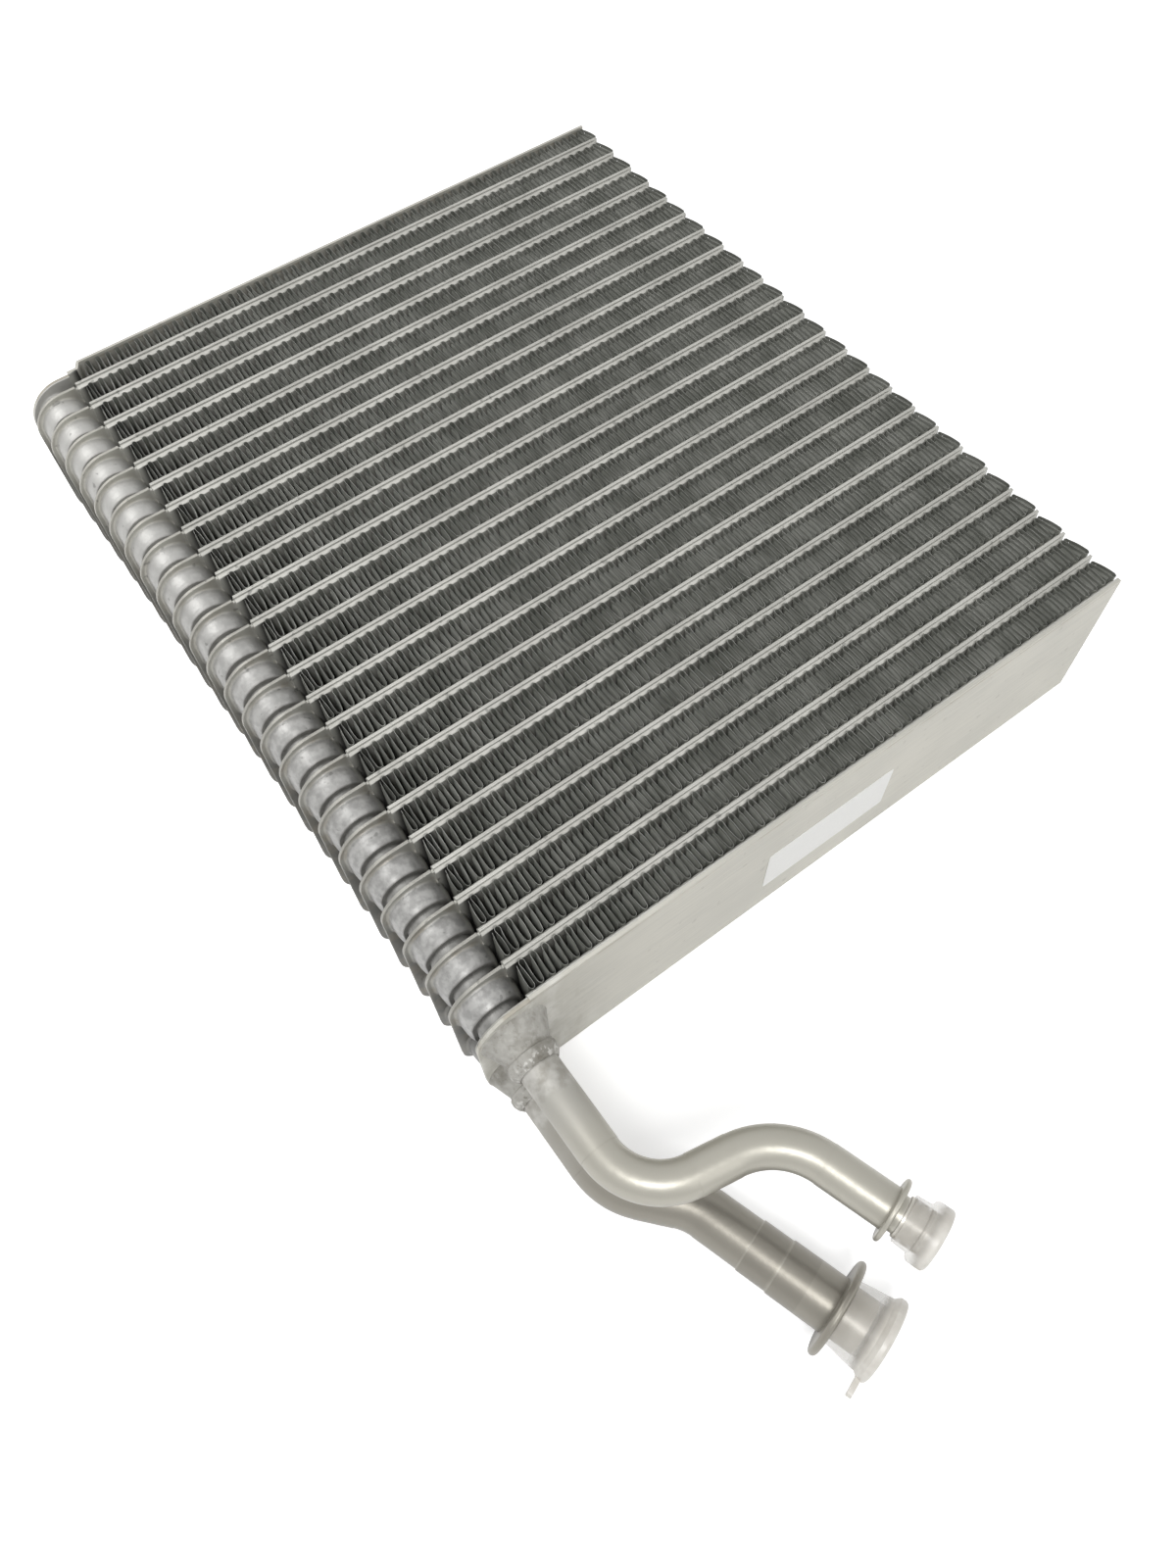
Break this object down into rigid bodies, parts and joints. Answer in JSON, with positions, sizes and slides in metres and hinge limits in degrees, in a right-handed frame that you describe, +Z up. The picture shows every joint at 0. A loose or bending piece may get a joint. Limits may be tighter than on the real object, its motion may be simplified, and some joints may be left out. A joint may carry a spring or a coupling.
{
  "type": "evaporator core",
  "caption": "Laminated plate-and-fin evaporator core with a stacked-cup tank along one side and two bent, capped connection pipes.",
  "frame": {"origin": "middle of the whole part seen from above, at the height of the core's lower face", "axes": "+Z is up from the core's lower face to its upper face (the air's path), -X is the tank end, -Y is the front side plate that the pipes leave"},
  "size_m": [0.2502, 0.4165, 0.06],
  "materials": {
    "tube_plate": "brazed, dull satin, pale grey",
    "fin_strip": "thin louvred strip, dark grey from its dull coating",
    "side_plate": "mill-rolled sheet, dull after brazing",
    "braze_boss": "rough, whitish with dried flux",
    "pipe": "drawn tube, satin",
    "cap": "translucent off-white soft plastic",
    "label": "bare white paper sticker"
  },
  "bodies": {
    "root": {"tube_01": "tube_plate", "tube_02": "tube_plate", "tube_03": "tube_plate", "tube_04": "tube_plate", "tube_05": "tube_plate", "tube_06": "tube_plate", "tube_07": "tube_plate", "tube_08": "tube_plate", "tube_09": "tube_plate", "tube_10": "tube_plate", "tube_11": "tube_plate", "tube_12": "tube_plate", "tube_13": "tube_plate", "tube_14": "tube_plate", "tube_15": "tube_plate", "tube_16": "tube_plate", "tube_17": "tube_plate", "tube_18": "tube_plate", "tube_19": "tube_plate", "tube_20": "tube_plate", "tube_21": "tube_plate", "tube_22": "tube_plate", "tube_23": "tube_plate", "tube_24": "tube_plate", "fin_01": "fin_strip", "fin_02": "fin_strip", "fin_03": "fin_strip", "fin_04": "fin_strip", "fin_05": "fin_strip", "fin_06": "fin_strip", "fin_07": "fin_strip", "fin_08": "fin_strip", "fin_09": "fin_strip", "fin_10": "fin_strip", "fin_11": "fin_strip", "fin_12": "fin_strip", "fin_13": "fin_strip", "fin_14": "fin_strip", "fin_15": "fin_strip", "fin_16": "fin_strip", "fin_17": "fin_strip", "fin_18": "fin_strip", "fin_19": "fin_strip", "fin_20": "fin_strip", "fin_21": "fin_strip", "fin_22": "fin_strip", "fin_23": "fin_strip", "fin_24": "fin_strip", "fin_25": "fin_strip", "front_end_half_plate": "tube_plate", "rear_end_half_plate": "tube_plate", "front_side_plate": "side_plate", "rear_side_plate": "side_plate", "liquid_boss": "braze_boss", "suction_boss": "braze_boss", "liquid_pipe": "pipe", "suction_pipe": "pipe", "liquid_cap": "cap", "suction_cap": "cap", "label": "label"}
  },
  "joints": []
}
